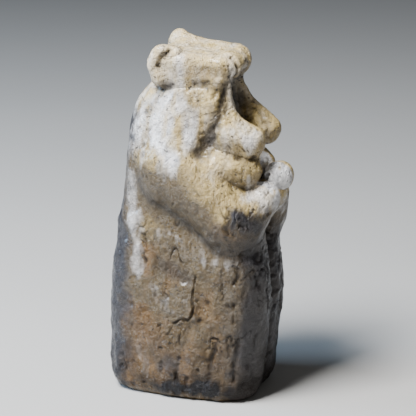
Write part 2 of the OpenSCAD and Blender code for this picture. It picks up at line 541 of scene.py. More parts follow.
@dataclass(frozen=True)
class Drawn:
    """Something drawn as a line, or as one spot, on one face of a CAD node's box.

    Attributes:
        node: The CAD node whose box it is placed on.
        facing: The way that the drawn-on face looks.
        points: Millimetres from the box's low corner, on the two axes that the face spans.
        width: Half width of the line in millimetres.
    """

    node: str
    facing: Facing
    points: tuple[tuple[float, float], ...]
    width: float

    def line(self) -> np.ndarray:
        """The line in metres on the face's two axes. One spot becomes a very short line."""
        corner = np.array(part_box(self.node)[0])
        line = corner[self.facing.across] + np.array(self.points) * MM
        return line if len(line) > 1 else np.vstack([line, line + 1e-6])


@dataclass(frozen=True)
class Mark(Drawn):
    """One cut, dent or ridge.

    Its profile across the line is a bell: depth at the middle, gone at about twice the width. A lip raises
    the clay just outside it, except at the line's ends. A mark narrower than BROAD is broken up by noise.

    Attributes:
        depth: How deep it is in millimetres, or below zero for a ridge.
        lip: Height of the raised clay beside it.
        ragged: How far its line wanders, in millimetres.
        dirt: How much soot lies in it; in the broad valleys and the creases under the head this is painted
            shade.
    """

    depth: float
    lip: float = 0.0
    ragged: float = 0.35
    dirt: float = 0.6

    BROAD: ClassVar[float] = 1.5

    def strength(self, points: np.ndarray, normals: np.ndarray) -> tuple[np.ndarray, np.ndarray]:
        """How strongly the mark acts on each place.

        Args:
            points: Places on the surface, shape (n, 3).
            normals: The surface's outward directions there.

        Returns:
            The bell from 0 to 1, and the lip's bell beside it.
        """
        line = self.line()
        margin = 3.5 * self.width * MM
        flat = points[:, self.facing.across]
        axis, sign = self.facing.value
        near = np.all((flat > line.min(axis=0) - margin) & (flat < line.max(axis=0) + margin), axis=1)
        near &= normals[:, axis] * sign > 0.15
        bell, lip = np.zeros(len(points)), np.zeros(len(points))
        if near.any():
            wander = np.stack([layered_noise(points[near], 2.4 * MM, 3, seed) for seed in (71, 75)], axis=1)
            away, along = to_polyline(flat[near] + wander * self.ragged * MM, line)
            share = away / (self.width * MM * (1.0 + 0.45 * noise(points[near], 1.9 * MM, 79)))
            length = np.linalg.norm(np.diff(line, axis=0), axis=1).sum()
            from_end = np.minimum(along, 1.0 - along) * length / (self.width * MM)
            turned = smooth_step(normals[near, axis] * sign, 0.15, 0.5)
            if self.width < self.BROAD:
                turned = turned * np.clip(0.75 + 0.7 * noise(points[near], 2.8 * MM, 80), 0.1, 1.0)
            bell[near] = np.exp(-share * share) * turned
            lip[near] = np.exp(-((share - 1.7) / 0.7) ** 2) * turned * smooth_step(from_end, 0.2, 2.5)
        return bell, lip


@dataclass(frozen=True)
class Stain(Drawn):
    """A patch of colour with a torn edge. Most are rust, grey, soot or white slip on the clay; some are
    painted highlights.

    Attributes:
        clay: What colour it is.
        amount: How strong it is.
    """

    clay: Clay
    amount: float

    def strength(self, points: np.ndarray, normals: np.ndarray, torn: np.ndarray) -> np.ndarray:
        """How strong the patch is at each place.

        Args:
            points: Places on the surface, shape (n, 3).
            normals: The surface's outward directions there.
            torn: Noise that tears the patch's edge.

        Returns:
            The strength at each place.
        """
        axis, sign = self.facing.value
        low, high = (corner[axis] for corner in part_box(self.node))
        away, _ = to_polyline(points[:, self.facing.across], self.line())
        inside = 1.0 - away / (self.width * MM) + 0.5 * torn
        on_node = smooth_step(np.maximum(low - points[:, axis], points[:, axis] - high), 3 * MM, 1 * MM)
        turned = smooth_step(normals[:, axis] * sign, 0.0, 0.4)
        return smooth_step(inside, -0.2, 1.0) * turned * on_node * self.amount


@dataclass
class Surface:
    """What one traced piece is made of.

    Attributes:
        points: Places on the surface, shape (rows, columns, 3). The first and last row are each one place.
        paint: The five Clay colours at each place, shape (rows, columns, 5).
        hollow: How deep in a cut, pit or joint each place lies, from 0 to 1.
    """

    points: np.ndarray
    paint: np.ndarray
    hollow: np.ndarray


@dataclass
class Figure:
    """The whole figure: every lump, and the marks and patches of colour on them, some of which are painted
    highlights.

    Attributes:
        core: The lump that the others are pressed onto.
        coils: The other lumps, in the order in which they are joined on.
        marks: Cuts, dents and ridges.
        stains_and_highlights: Patches of colour; most are rust, grey, soot or white slip, some are painted
            highlights.
    """

    core: Core
    coils: list[Lump]
    marks: list[Mark]
    stains_and_highlights: list[Stain]

    MARCH = 0.6 * MM
    MARCH_STEPS = 26
    HALVINGS = 7

    def distances(self, points: np.ndarray) -> np.ndarray:
        """Distance to each lump's own surface, or a metre where the lump is out of reach.

        Args:
            points: Places, shape (n, 3).

        Returns:
            Distances, shape (lumps, n), with the core's first.
        """
        table = np.full((len(self.coils) + 1, len(points)), 1.0)
        table[0] = self.core.distance(points)
        for index, coil in enumerate(self.coils, start=1):
            low, high = coil.reach()
            margin = coil.fillet + 2 * MM
            near = np.all((points > low - margin) & (points < high + margin), axis=1)
            if near.any():
                table[index, near] = coil.distance(points[near])
        return table

    def joined(self, table: np.ndarray, points: np.ndarray) -> np.ndarray:
        """Distance to the shape of all lumps melted together, cut off level at the base."""
        shared = table[0]
        for coil, own in zip(self.coils, table[1:]):
            shared = smooth_min(shared, own, coil.fillet)
        return np.maximum(shared, -points[:, 2] - 1e-6)

    def diving(self, number: int, points: np.ndarray) -> np.ndarray:
        """Distance to the joined shape, but to the lump's own surface where another lump is nearer.

        Args:
            number: The lump's place in the table, with the core at 0.
            points: Places, shape (n, 3).

        Returns:
            One distance for each place.
        """
        table = self.distances(points)
        others = np.delete(table, number, axis=0).min(axis=0)
        return self.joined(table, points) + np.maximum(table[number] - others, 0.0)

    def outwards(self, points: np.ndarray) -> np.ndarray:
        """The joined shape's outward direction at each place, from four probes round it."""
        probe = 0.12 * MM
        total = np.zeros_like(points)
        for corner in ((1, -1, -1), (-1, -1, 1), (-1, 1, -1), (1, 1, 1)):
            shift = np.array(corner, float)
            moved = points + shift * probe
            total += shift * self.joined(self.distances(moved), moved)[:, None]
        return unit(total)

    def trace(self, number: int, rays: Rays) -> np.ndarray:
        """Finds where each ray leaves the lump: steps out until the distance turns positive, then halves.

        Args:
            number: The lump's place in the table, with the core at 0.
            rays: The lump's rays.

        Returns:
            Places on the surface, one for each ray.
        """
        origins, directions = rays.origins.reshape(-1, 3), rays.directions.reshape(-1, 3)
        inner = rays.start.ravel().copy()
        already_out = self.diving(number, origins + directions * inner[:, None]) > 0.0
        outer = inner.copy()
        inner[already_out] = 0.0
        searching = np.flatnonzero(~already_out)
        for _ in range(self.MARCH_STEPS):
            if not len(searching):
                break
            outer[searching] = inner[searching] + self.MARCH
            spots = origins[searching] + directions[searching] * outer[searching, None]
            inside = self.diving(number, spots) < 0.0
            inner[searching[inside]] = outer[searching[inside]]
            searching = searching[inside]
        for _ in range(self.HALVINGS):
            middle = (inner + outer) / 2
            inside = self.diving(number, origins + directions * middle[:, None]) < 0.0
            inner, outer = np.where(inside, middle, inner), np.where(inside, outer, middle)
        return origins + directions * ((inner + outer) / 2)[:, None]

    def relief(self, points: np.ndarray, normals: np.ndarray) -> tuple[np.ndarray, np.ndarray, np.ndarray]:
        """Height of the hand-worked surface over the joined shape.

        It is the sum of broad unevenness, a grain that is coarse on the skirt and fine on the head, pits, and
        every mark's bell and lip.

        Args:
            points: Places on the joined shape, shape (n, 3).
            normals: The outward directions there.

        Returns:
            The height in metres, how hollow the place is from 0 to 1, and the soot lying in it, with painted
            shade in the deeper creases.
        """
        up = points[:, 2] / self.core.height
        coarse = smooth_step(up, 1.0, 0.45)
        tall = points * np.array([1.0, 1.0, 0.4])
        height = (0.36 + 0.12 * coarse) * MM * layered_noise(points, 13 * MM, 3, 11)
        height += (0.14 + 0.26 * coarse) * MM * layered_noise(tall, 4.6 * MM, 3, 17)
        height += (0.07 + 0.10 * coarse) * MM * layered_noise(points, 2.2 * MM, 3, 23)
        small, large = pits(points, 1.9 * MM, 0.35, 31), pits(points, 3.4 * MM, 0.16, 41)
        split = cracks(points, 7.5 * MM, 91) * (0.35 + 0.65 * coarse)
        nicks = self.nicks(points)
        height -= (0.22 * small + 0.5 * large + 0.75 * split + 0.4 * nicks) * MM
        hollow = np.maximum(0.35 * small + 0.6 * large, 0.9 * np.maximum(split, nicks))
        dirt = np.maximum(0.5 * large, 0.6 * split)
        for mark in self.marks:
            bell, lip = mark.strength(points, normals)
            height += (mark.lip * lip - mark.depth * bell) * MM
            hollow = np.maximum(hollow, bell * np.clip(mark.depth, 0.0, 1.0))
            # Each mark's soot; in the broad valleys and the creases under the head this is painted shade.
            dirt = np.maximum(dirt, bell * mark.dirt)
        return height * smooth_step(points[:, 2], 0.0, 1.5 * MM), np.clip(hollow, 0.0, 1.0), dirt

    def nicks(self, points: np.ndarray) -> np.ndarray:
        """Short cuts left by the modelling tool, leaning two ways: long pits, sheared in height.

        Args:
            points: Places, shape (n, 3).

        Returns:
            One value from 0 to 1 for each place.
        """
        deepest = np.zeros(len(points))
        for lean, seed in ((0.9, 101), (-0.6, 107)):
            sheared = points * np.array([1.0, 1.0, 0.36])
            sheared[:, 1] += lean * points[:, 2]
            deepest = np.maximum(deepest, pits(sheared, 1.7 * MM, 0.14, seed))
        return deepest

    def paint(self, points: np.ndarray, normals: np.ndarray, table: np.ndarray) -> np.ndarray:
        """The amounts of the five Clay colours at each place.

        Cream slip lies on the head, arms and breasts, laid thicker on upward-facing surfaces as painted light
        from above. White slip lies on the neck and shoulders, grey smoke on the back, and grey on the lower
        front that is partly smoke and partly painted shade, with more painted shade on downward-facing
        surfaces at the arms. Rust lies on the skirt, soot along the foot, and patchy soot and painted shade
        grow towards the bottom. Each is a soft step in height, depth or facing, torn by noise. The patches of
        colour go on top; some of them are painted highlights.

        Args:
            points: Places on the joined shape, shape (n, 3).
            normals: The outward directions there.
            table: Each lump's distances there.

        Returns:
            Amounts from 0 to 1, shape (n, 5).
        """
        up = points[:, 2] / self.core.height
        cloud = layered_noise(points, 11 * MM, 4, 51)
        streak = layered_noise(points * np.array([1.0, 1.0, 0.35]), 4 * MM, 3, 61)
        trickle = layered_noise(points * np.array([1.0, 1.0, 0.28]), 2.6 * MM, 3, 67)
        back = points[:, 1] / self.core.high()[1]
        near = np.exp(-table / (1.3 * MM) - (-table / (1.3 * MM)).max(axis=0))
        near /= near.sum(axis=0)
        on_core = near[0]
        numbered = list(enumerate(self.coils, start=1))
        head = sum(near[i] for i, lump in numbered if lump.low()[2] > self.core.height * 0.99)
        creamy = sum(near[i] for i, lump in numbered if lump.slot == CREAM_SLOT)
        amounts = np.zeros((len(points), len(Clay)))
        # Painted light: the cream slip is laid thicker where the surface faces up, so that the tops look lit
        # from above and the undersides of the arms look shaded.
        lit = smooth_step(normals[:, 2] + 0.2 * cloud, -0.15, 0.6)
        upper = smooth_step(up + 0.05 * cloud, 0.50, 0.68)
        amounts[:, Clay.CREAM.value] = upper * lit * 0.75 + 0.45 * creamy
        neck = smooth_step(up + 0.05 * cloud + 0.04 * streak, 0.71, 0.92) * (1.0 - 0.75 * creamy)
        amounts[:, Clay.WHITE.value] = neck * (0.54 + 0.65 * streak) + 0.07 * head * (1 + cloud)
        behind = smooth_step(back + 0.1 * cloud, 0.52, 0.78) * on_core
        # Grey on the front-facing surfaces of the lower body: partly grey smoke, partly painted shade for the
        # shaded front.
        before = smooth_step(-normals[:, 1] - 0.25 * cloud, 0.3, 0.75) * smooth_step(up, 0.62, 0.5)
        amounts[:, Clay.GREY.value] = np.maximum(behind, 0.9 * before)
        amounts[:, Clay.GREY.value] += 0.42 * neck * np.maximum(trickle + 0.2, 0.0)
        # Painted shade: grey on the downward-facing surfaces at the height of the arms, where they lie in
        # shade.
        under = smooth_step(-normals[:, 2] + 0.15 * cloud, -0.12, 0.4) * smooth_step(up, 0.48, 0.56)
        amounts[:, Clay.GREY.value] += 0.22 * under * (1.0 - creamy)
        patchy = 0.5 * smooth_step(cloud + 0.5 * streak, -0.1, 0.8) + 0.4 * smooth_step(up, 0.38, 0.06)
        amounts[:, Clay.RUST.value] = patchy * smooth_step(up, 0.62, 0.4)
        foot = smooth_step(up + 0.03 * cloud, 0.13, 0.015)
        amounts[:, Clay.SOOT_AND_SHADE.value] = foot * smooth_step(cloud, -0.9, 0.1)
        # Patchy soot and painted shade that grow towards the bottom, darkening the lower skirt as the light
        # falls off.
        low_down = smooth_step(up, 0.42, 0.0)
        amounts[:, Clay.SOOT_AND_SHADE.value] += 0.45 * low_down * smooth_step(cloud - streak, -0.3, 0.9)
        torn = layered_noise(points * np.array([1.0, 1.0, 0.5]), 2.6 * MM, 4, 81)
        for stain in self.stains_and_highlights:
            amounts[:, stain.clay.value] += stain.strength(points, normals, torn)
        return np.clip(amounts, 0.0, 1.0)

    def surface(self, number: int) -> Surface:
        """Traces one lump, works the relief into it and paints it.

        Args:
            number: The lump's place in the table, with the core at 0.

        Returns:
            The finished surface.
        """
        lump = self.core if number == 0 else self.coils[number - 1]
        rays = lump.rays()
        shape = rays.start.shape
        smooth = self.trace(number, rays)
        normals = self.outwards(smooth)
        table = self.distances(smooth)
        height, hollow, dirt = self.relief(smooth, normals)
        # Painted shade: the joints between lumps count as hollow, most where they face down, so that the
        # material darkens them as shaded creases.
        joint = np.clip((table.min(axis=0) - self.joined(table, smooth)) / (1.1 * MM), 0.0, 1.0)
        hollow = np.maximum(hollow, 0.75 * joint * smooth_step(normals[:, 2], 0.5, -0.3))
        paint = self.paint(smooth, normals, table)
        # Soot in the cuts and cracks, and painted shade in the deeper creases.
        soot_and_shade = Clay.SOOT_AND_SHADE.value
        paint[:, soot_and_shade] = np.clip(paint[:, soot_and_shade] + 0.8 * dirt, 0.0, 1.0)
        # White on the raised relief: rubbed slip and a painted highlight on the ridges.
        wear_and_sheen = smooth_step(height, 0.35 * MM, 0.95 * MM)
        wear_and_sheen = wear_and_sheen * smooth_step(noise(smooth, 2.0 * MM, 121), -0.2, 0.5)
        white = Clay.WHITE.value
        paint[:, white] = np.clip(paint[:, white] + 0.16 * wear_and_sheen, 0.0, 1.0)
        worked = smooth + normals * height[:, None]
        worked[:, 2] = np.maximum(worked[:, 2], 0.0)
        points, paint = worked.reshape(*shape, 3), paint.reshape(*shape, len(Clay))
        hollow = hollow.reshape(shape)
        if number == 0:
            points, paint, hollow = self.close_core(points, paint, hollow)
        return Surface(points, paint, hollow)

    def close_core(self, points: np.ndarray, paint: np.ndarray, hollow: np.ndarray) -> tuple[np.ndarray, ...]:
        """Adds the flat rings that close the core's base and its top, drawn in towards the middle.

        Args:
            points: The wall's places.
            paint: The wall's colours.
            hollow: The wall's hollows.

        Returns:
            The same three with the rings added.
        """
        rings = self.core.cap_rows
        shares = (1.0 - np.linspace(0.0, 1.0, rings + 1)[1:])[:, None, None]
        foot, crown = points[0], points[-1]
        under = foot.mean(axis=0) + (foot - foot.mean(axis=0)) * shares[::-1]
        over = crown.mean(axis=0) + (crown - crown.mean(axis=0)) * shares
        points = np.concatenate([under, points, over])
        paint = np.concatenate([np.repeat(paint[:1], rings, 0), paint, np.repeat(paint[-1:], rings, 0)])
        hollow = np.concatenate([np.repeat(hollow[:1], rings, 0), hollow, np.repeat(hollow[-1:], rings, 0)])
        return points, paint, hollow


def closed_mesh(name: str, surface: Surface) -> bpy.types.Object:
    """Makes a closed mesh of a surface's grid, with a fan of triangles at each end.

    The grid's columns join up round it, and its first and last rows shrink to one vertex each. The faces are
    turned round if the volume that they enclose comes out below zero.

    Args:
        name: The object's name.
        surface: The grid and its colours.

    Returns:
        The new object, in the scene.
    """
    rows, columns = surface.hollow.shape

    def flat(values: np.ndarray) -> np.ndarray:
        """The first row's first value, all inner rows, and the last row's first value."""
        inner = values[1:-1].reshape(-1, *values.shape[2:])
        return np.concatenate([values[:1, 0], inner, values[-1:, 0]])

    vertices = flat(surface.points)
    last = len(vertices) - 1
    column = np.arange(columns)
    following = (column + 1) % columns
    starts = 1 + columns * np.arange(rows - 3)[:, None]
    quads = np.stack([starts + column, starts + following, starts + columns + following,
                      starts + columns + column], axis=-1).reshape(-1, 4)
    bottom = np.stack([np.zeros(columns, int), 1 + following, 1 + column], axis=1)
    top_start = 1 + columns * (rows - 3)
    top = np.stack([np.full(columns, last), top_start + column, top_start + following], axis=1)
    corners = vertices[quads]
    volume = np.einsum("ni,ni->n", corners[:, 0], np.cross(corners[:, 1], corners[:, 2])).sum()
    volume += np.einsum("ni,ni->n", corners[:, 0], np.cross(corners[:, 2], corners[:, 3])).sum()
    faces = [quads, bottom, top]
    if volume < 0.0:
        faces = [face[:, ::-1] for face in faces]
    mesh = bpy.data.meshes.new(name)
    mesh.from_pydata(vertices.tolist(), [], [corner for face in faces for corner in face.tolist()])
    mesh.polygons.foreach_set("use_smooth", np.ones(len(mesh.polygons), bool))
    paint, hollow = flat(surface.paint), flat(surface.hollow)
    slip, stain = (Clay.CREAM, Clay.WHITE, Clay.GREY), (Clay.RUST, Clay.SOOT_AND_SHADE)
    # The slip colours carry painted light in the cream and painted shade in the grey.
    store_colour(mesh, "slip", [paint[:, clay.value] for clay in slip])
    # The stain colours carry soot with painted shade, and the hollow that the material darkens as grime and
    # painted shade.
    store_colour(mesh, "stain", [*(paint[:, clay.value] for clay in stain), hollow])
    mesh.update()
    piece = bpy.data.objects.new(name, mesh)
    bpy.context.scene.collection.objects.link(piece)
    return piece


def store_colour(mesh: bpy.types.Mesh, name: str, channels: list[np.ndarray]) -> None:
    """Stores three values for each vertex as a colour attribute."""
    layer = mesh.color_attributes.new(name, "FLOAT_COLOR", "POINT")
    rgba = np.stack([*channels, np.ones(len(channels[0]))], axis=1)
    layer.data.foreach_set("color", rgba.astype(np.float32).ravel())


class NodeDesk:
    """Adds and links the nodes of one material."""

    def __init__(self, name: str) -> None:
        """Starts a new material with an empty node tree."""
        self.material = bpy.data.materials.new(name)
        self.material.use_nodes = True
        self.tree = self.material.node_tree
        self.tree.nodes.clear()
        self.place = self.add("ShaderNodeTexCoord").outputs["Object"]

    def add(self, kind: str, **settings: object) -> bpy.types.Node:
        """Adds a node and sets its properties."""
        node = self.tree.nodes.new(kind)
        for key, value in settings.items():
            setattr(node, key, value)
        return node

    def feed(self, socket: bpy.types.NodeSocket, value: object) -> None:
        """Links a socket into an input, or sets the input to a plain value."""
        if isinstance(value, bpy.types.NodeSocket):
            self.tree.links.new(value, socket)
        else:
            socket.default_value = value

    def maths(self, operation: str, first: object, second: object = 0.0) -> bpy.types.NodeSocket:
        """One step of arithmetic on two values."""
        node = self.add("ShaderNodeMath", operation=operation)
        self.feed(node.inputs[0], first)
        self.feed(node.inputs[1], second)
        return node.outputs[0]

    def blend(self, share: object, first: object, second: object, way: str = "MIX") -> bpy.types.NodeSocket:
        """Mixes two colours by a share."""
        node = self.add("ShaderNodeMix", data_type="RGBA", blend_type=way)
        self.feed(node.inputs[0], share)
        self.feed(node.inputs[6], first)
        self.feed(node.inputs[7], second)
        return node.outputs[2]

    def cloud(self, size: float, detail: float = 4.0, rough: float = 0.55,
              squash: tuple[float, float, float] = (1.0, 1.0, 1.0)) -> bpy.types.NodeSocket:
        """Noise from 0 to 1 whose features are about size metres across, longer where squash is below 1."""
        mapping = self.add("ShaderNodeMapping")
        self.feed(mapping.inputs["Vector"], self.place)
        mapping.inputs["Scale"].default_value = squash
        node = self.add("ShaderNodeTexNoise")
        self.feed(node.inputs["Vector"], mapping.outputs[0])
        node.inputs["Scale"].default_value = 1.0 / size
        node.inputs["Detail"].default_value = detail
        node.inputs["Roughness"].default_value = rough
        return node.outputs[0]

    def step(self, value: object, low: float, high: float,
             first: float = 0.0, last: float = 1.0) -> bpy.types.NodeSocket:
        """Grades a value from first at low to last at high, and holds it beyond them."""
        node = self.add("ShaderNodeMapRange", clamp=True)
        self.feed(node.inputs["Value"], value)
        for name, number in (("From Min", low), ("From Max", high), ("To Min", first), ("To Max", last)):
            node.inputs[name].default_value = number
        return node.outputs[0]

    def bump(self, height: bpy.types.NodeSocket, depth: float,
             under: bpy.types.NodeSocket | None = None) -> bpy.types.NodeSocket:
        """Tilts the surface by a height from 0 to 1 that stands for depth metres, on top of another bump."""
        node = self.add("ShaderNodeBump")
        node.inputs["Distance"].default_value = depth
        self.feed(node.inputs["Height"], height)
        if under is not None:
            self.feed(node.inputs["Normal"], under)
        return node.outputs[0]

    def painted(self, name: str) -> list[bpy.types.NodeSocket]:
        """The three values of a colour attribute."""
        attribute = self.add("ShaderNodeAttribute", attribute_name=name)
        split = self.add("ShaderNodeSeparateColor")
        self.feed(split.inputs[0], attribute.outputs["Color"])
        return list(split.outputs)


@dataclass(frozen=True)
class SmokedClay:
    """The figure's finish: ochre clay under cream and white slip, smoked, scuffed and waxed, with painted
    light and shade in its colours.

    Attributes:
        name: The material's name.
        ochre: Colour of the bare clay, and so on for each of the others.
        roughness: Roughness of the waxed surface.
        wax: Weight of the wax coat.
        wax_roughness: Roughness of the wax coat.
    """

    name: str = "smoked_clay_figure"
    ochre: tuple[float, float, float] = (0.088, 0.057, 0.020)
    cream: tuple[float, float, float] = (0.60, 0.44, 0.175)
    white: tuple[float, float, float] = (0.72, 0.70, 0.69)
    grey: tuple[float, float, float] = (0.012, 0.010, 0.014)
    rust: tuple[float, float, float] = (0.125, 0.062, 0.011)
    soot_and_shade: tuple[float, float, float] = (0.005, 0.004, 0.005)
    grime_and_shade: tuple[float, float, float] = (0.014, 0.008, 0.004)
    roughness: float = 0.33
    wax: float = 0.35
    wax_roughness: float = 0.13

    def material(self) -> bpy.types.Material:
        """Builds the material.

        The five painted amounts lay their colours on the clay one after the other, each broken up by noise.
        Fine specks of grime, dark grime with painted shade in the hollows and joints, and two sizes of grain
        go on top.

        Returns:
            The material.
        """
        desk = NodeDesk(self.name)
        cream, white, grey = desk.painted("slip")
        rust, soot_and_shade, hollow = desk.painted("stain")
        broad, fine = desk.cloud(9 * MM), desk.cloud(1.6 * MM, 3.0)
        streaks = desk.cloud(2.2 * MM, 4.0, 0.6, (1.0, 1.0, 0.3))

        def laid(amount: bpy.types.NodeSocket, breakup: bpy.types.NodeSocket,
                 spread: float) -> bpy.types.NodeSocket:
            """The amount, sharpened at an edge that the noise moves about."""
            edge = desk.maths("MULTIPLY", desk.maths("SUBTRACT", breakup, 0.5), spread)
            return desk.step(desk.maths("ADD", amount, edge), 0.08, 0.92)

        colour = desk.blend(laid(rust, streaks, 0.6), self.rgba(self.ochre), self.rgba(self.rust))
        colour = desk.blend(laid(cream, broad, 0.5), colour, self.rgba(self.cream))
        colour = desk.blend(laid(white, streaks, 0.55), colour, self.rgba(self.white))
        colour = desk.blend(laid(grey, broad, 0.7), colour, self.rgba(self.grey))
        shade = desk.step(fine, 0.25, 0.75, 0.66, 1.26)
        tone = desk.add("ShaderNodeCombineColor")
        for socket in tone.inputs:
            desk.feed(socket, shade)
        colour = desk.blend(1.0, colour, tone.outputs[0], "MULTIPLY")
        specks = desk.step(desk.cloud(0.9 * MM, 2.0, 0.5, (1.0, 0.75, 1.0)), 0.59, 0.67)
        gathered = desk.step(desk.cloud(4.5 * MM, 3.0), 0.38, 0.62, 0.15, 0.85)
        specks = desk.maths("MULTIPLY", specks, gathered)
        colour = desk.blend(specks, colour, self.rgba(self.grime_and_shade))
        # Soot, with painted shade towards the bottom and in the creases.
        colour = desk.blend(laid(soot_and_shade, fine, 0.8), colour, self.rgba(self.soot_and_shade))
        # Painted shade and grime: hollows, cuts and joints are darkened towards the grime colour.
        colour = desk.blend(desk.step(hollow, 0.15, 0.95, 0.0, 0.88), colour, self.rgba(self.grime_and_shade))

        shader = desk.add("ShaderNodeBsdfPrincipled")
        desk.feed(shader.inputs["Base Color"], colour)
        wear_and_sheen = desk.step(desk.cloud(5 * MM, 4.0), 0.3, 0.7, self.roughness - 0.14, self.roughness + 0.16)
        desk.feed(shader.inputs["Roughness"], desk.maths("ADD", wear_and_sheen, desk.maths("MULTIPLY", hollow, 0.3)))
        desk.feed(shader.inputs["Coat Weight"], desk.step(soot_and_shade, 0.0, 0.8, self.wax, 0.0))
        desk.feed(shader.inputs["Specular IOR Level"], desk.step(soot_and_shade, 0.0, 0.8, 0.5, 0.3))
        shader.inputs["Coat Roughness"].default_value = self.wax_roughness
        grain = desk.maths("ADD", desk.cloud(1.0 * MM, 5.0, 0.66), desk.maths("MULTIPLY", specks, -0.35))
        worked = desk.bump(desk.cloud(3.4 * MM, 5.0, 0.62, (1.0, 1.0, 0.75)), 2.0 * MM)
        worked = desk.bump(streaks, 0.22 * MM, worked)
        desk.feed(shader.inputs["Normal"], desk.bump(grain, 0.7 * MM, worked))
        output = desk.add("ShaderNodeOutputMaterial")
        desk.feed(output.inputs["Surface"], shader.outputs[0])
        return desk.material

    @staticmethod
    def rgba(colour: tuple[float, float, float]) -> tuple[float, float, float, float]:
        """The colour with an alpha of 1."""
        return (*colour, 1.0)


@dataclass(frozen=True)
class Roll:
    """The sizes of one coil, in millimetres.

    Attributes:
        spots: For each knot, how far it lies outwards from the figure's middle, behind the front of the
            node's box, and above the underside of its box.
        radii: The radius at each knot.
        stretch: How much the coil is swollen along X, Y and Z.
    """

    spots: tuple[tuple[float, float, float], ...]
    radii: tuple[float, ...]
    stretch: tuple[float, float, float] = (1.0, 1.0, 1.0)

    def knots(self, node: str, side: Side) -> np.ndarray:
        """The knots in metres on a node's box, with outwards towards the side."""
        low = np.array(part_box(node)[0])
        out, back, up = np.array(self.spots).T * MM
        return np.stack([out * side.value, low[1] + back, low[2] + up], axis=1)

    def coil(self, node: str, side: Side, slot: str, fillet: float) -> Coil:
        """Makes the coil for a node, with its fillet in millimetres."""
        radii = tuple(radius * MM for radius in self.radii)
        return Coil(node, slot, fillet * MM, self.knots(node, side), radii, self.stretch)


@dataclass(frozen=True)
class Pair:
    """One coil on the right and one on the left.

    Attributes:
        name: The nodes' name without its side.
        slot: Their material slot.
        fillets: How far the right coil and the left one are smeared at the joint, in millimetres.
        right: The right coil's sizes.
        left: The left coil's sizes, or None where they are the same.
    """

    name: str
    slot: str
    fillets: tuple[float, float]
    right: Roll
    left: Roll | None = None

    def lumps(self) -> list[Lump]:
        """The right coil and the left one."""
        rolls = (self.right, self.left or self.right)
        return [roll.coil(side.node(self.name), side, self.slot, fillet)
                for side, roll, fillet in zip(Side, rolls, self.fillets)]


class SubAssembly(ABC):
    """A group of lumps that the maker presses on one after the other."""

    @abstractmethod
    def lumps(self) -> list[Lump]:
        """The group's lumps, in the order in which they are pressed on."""

    def build(self, figure: Figure, finish: bpy.types.Material) -> None:
        """Builds each lump's piece, dresses it, and puts it in its CAD node's place.

        Args:
            figure: The whole figure, which the pieces are traced on.
            finish: The material of every piece.
        """
        own = {lump.node for lump in self.lumps()}
        for number, lump in enumerate([figure.core, *figure.coils]):
            if lump.node not in own:
                continue
            piece = closed_mesh(f"{lump.node}_clay", figure.surface(number))
            piece.data.materials.append(finish)
            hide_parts(lump.node)
            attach(piece, "root")
            log.info("%s: %d vertices", piece.name, len(piece.data.vertices))


@dataclass
class Body(SubAssembly):
    """The standing core, the rolls from the head into the shoulders, and the ridges of the legs.

    Attributes:
        neck_rolls: The rolls beside the neck.
        legs: The ridges down the front corners of the skirt.
    """

    neck_rolls: Pair = Pair(
        "neck_roll", SMOKED_SLOT, (6.0, 6.0),
        Roll(((7.0, 2.5, 18.0), (8.6, 3.6, 8.0), (10.6, 2.6, -3.0)), (5.2, 7.0, 8.2), (1.0, 1.4, 1.0)))
    legs: Pair = Pair(
        "leg", SMOKED_SLOT, (7.0, 7.0),
        Roll(((8.3, 9.0, 56.0), (9.4, 8.6, 33.9), (7.4, 10.2, 6.6)), (5.6, 6.4, 6.2)),
        Roll(((9.5, 9.0, 56.0), (10.6, 8.6, 33.9), (8.6, 10.2, 6.6)), (5.6, 6.4, 6.2)))

    def lumps(self) -> list[Lump]:
        """The core, which the others are pressed onto, then the rolls and the legs."""
        return [Core("body_core", OCHRE_SLOT, 0.0), *self.neck_rolls.lumps(), *self.legs.lumps()]


@dataclass
class Arms(SubAssembly):
    """The folded arms, without their hands.

    Attributes:
        upper: The thick upper arms, from the shoulder forward and down to the elbow. The left one is higher.
        fore: The forearms, from the elbow round to the middle of the figure.
    """

    upper: Pair = Pair(
        "upper_arm", OCHRE_SLOT, (5.0, 5.0),
        Roll(((12.2, 31.1, 24.1), (13.6, 20.6, 19.6), (12.2, 9.1, 9.6)), (8.6, 8.8, 8.6), (0.92, 1.0, 1.12)),
        Roll(((12.2, 31.1, 27.1), (13.6, 20.6, 22.6), (12.2, 9.1, 9.6)), (8.6, 8.8, 8.6), (0.92, 1.0, 1.12)))
    fore: Pair = Pair(
        "forearm", OCHRE_SLOT, (3.0, 3.0),
        Roll(((12.2, 16.8, 9.1), (10.2, 11.0, 9.4), (5.6, 6.8, 15.6)), (8.4, 6.8, 4.9), (0.92, 1.0, 1.1)),
        Roll(((12.2, 16.8, 9.1), (10.2, 11.0, 9.4), (5.6, 6.8, 17.3)), (8.4, 6.8, 4.9), (0.92, 1.0, 1.1)))

    def lumps(self) -> list[Lump]:
        """The upper arms and the forearms."""
        return [*self.upper.lumps(), *self.fore.lumps()]


